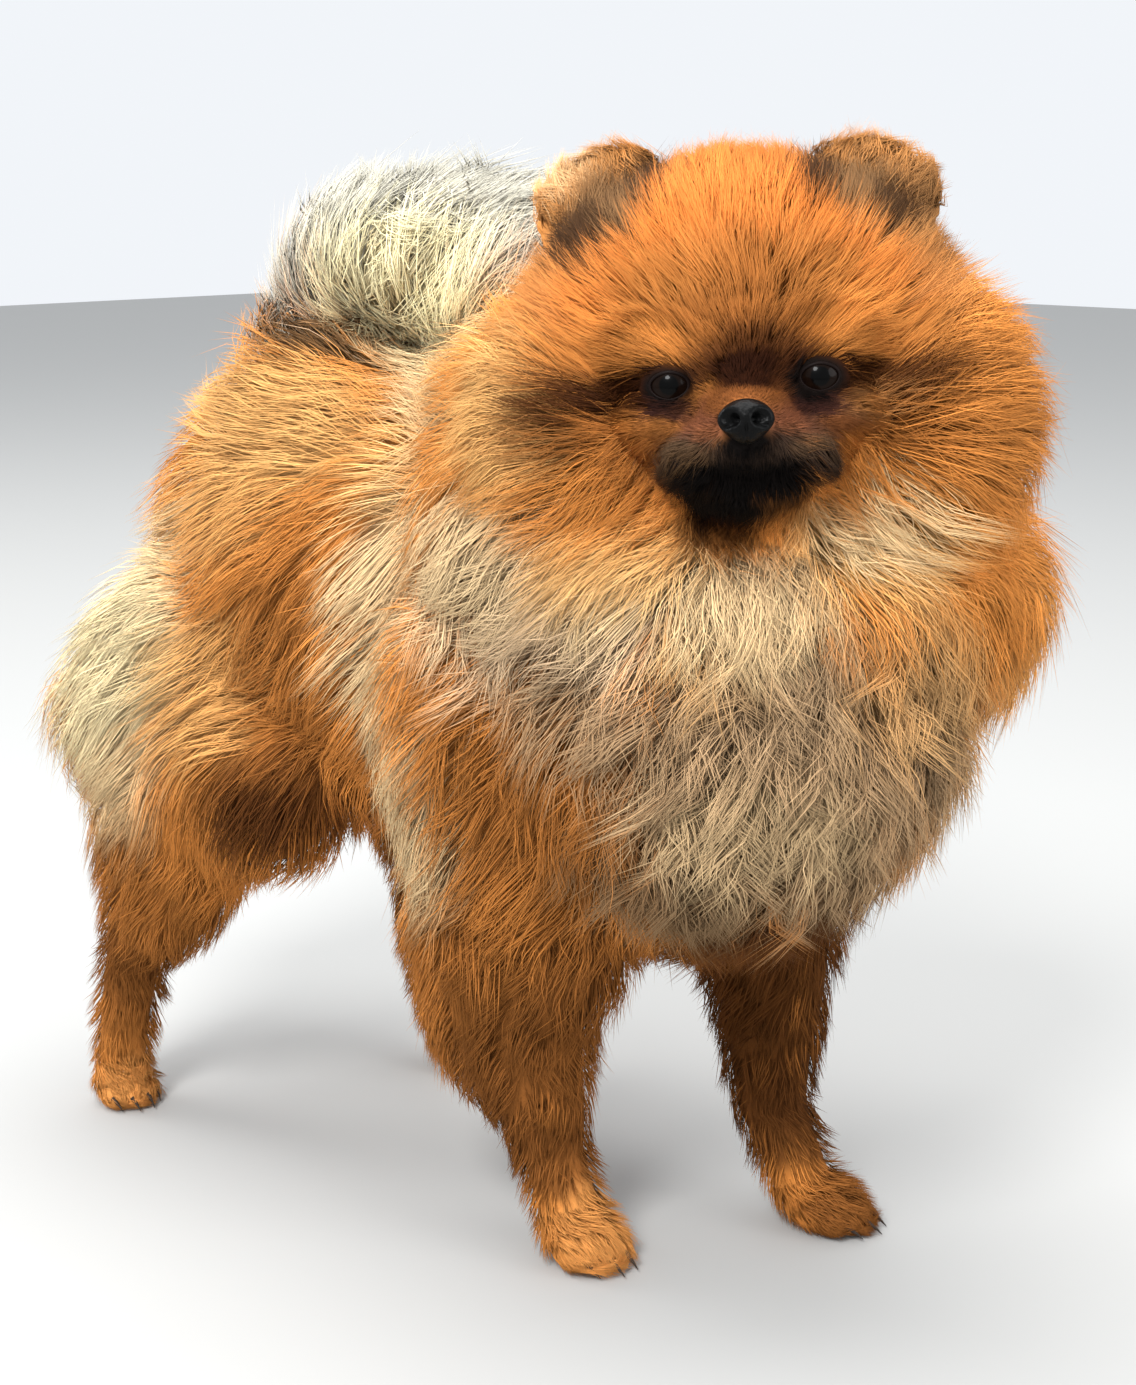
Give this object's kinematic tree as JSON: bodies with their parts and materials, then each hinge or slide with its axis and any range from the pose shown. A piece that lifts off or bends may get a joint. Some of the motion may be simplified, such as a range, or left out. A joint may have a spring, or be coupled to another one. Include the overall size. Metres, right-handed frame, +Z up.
{
  "type": "pomeranian",
  "caption": "Life-size standing Pomeranian with a full round coat, head turned to its right and its plumed tail lying over its back.",
  "frame": {"origin": "on the floor, under the middle of the dog's bounding box", "axes": "the dog's body points along -Y with its head turned to its own right (-X), +X is its left side, +Z is up"},
  "size_m": [0.1755, 0.3395, 0.3133],
  "materials": {
    "orange_coat": "soft, dull, bright orange fur",
    "cream_coat": "soft, dull, cream and pale gold fur",
    "rust_coat": "soft, dull, rust-brown fur on the legs",
    "paw_coat": "short bright orange fur over the toes",
    "ear_coat": "short cream and sable fur on the ears",
    "black_mask": "short black fur round the mouth",
    "nose_leather": "pebbled and moist",
    "eyes": "wet, near-black brown",
    "claws": "dark smooth horn"
  },
  "bodies": {
    "root": {"claw_fore_left_1": "claws", "claw_fore_left_2": "claws", "claw_fore_left_3": "claws", "claw_fore_left_4": "claws", "claw_fore_right_1": "claws", "claw_fore_right_2": "claws", "claw_fore_right_3": "claws", "claw_fore_right_4": "claws", "claw_hind_left_1": "claws", "claw_hind_left_2": "claws", "claw_hind_left_3": "claws", "claw_hind_left_4": "claws", "claw_hind_right_1": "claws", "claw_hind_right_2": "claws", "claw_hind_right_3": "claws", "claw_hind_right_4": "claws", "ear_left": "ear_coat", "ear_right": "ear_coat", "eye_left": "eyes", "eye_right": "eyes", "foreleg_left": "rust_coat", "foreleg_right": "rust_coat", "forepaw_left": "paw_coat", "forepaw_right": "paw_coat", "head": "orange_coat", "hindpaw_left": "paw_coat", "hindpaw_right": "paw_coat", "jaw": "black_mask", "muzzle": "black_mask", "neck": "cream_coat", "nose": "nose_leather", "shank_left": "rust_coat", "shank_right": "rust_coat", "tail": "cream_coat", "thigh_left": "cream_coat", "thigh_right": "cream_coat", "trunk": "orange_coat"}
  },
  "joints": []
}
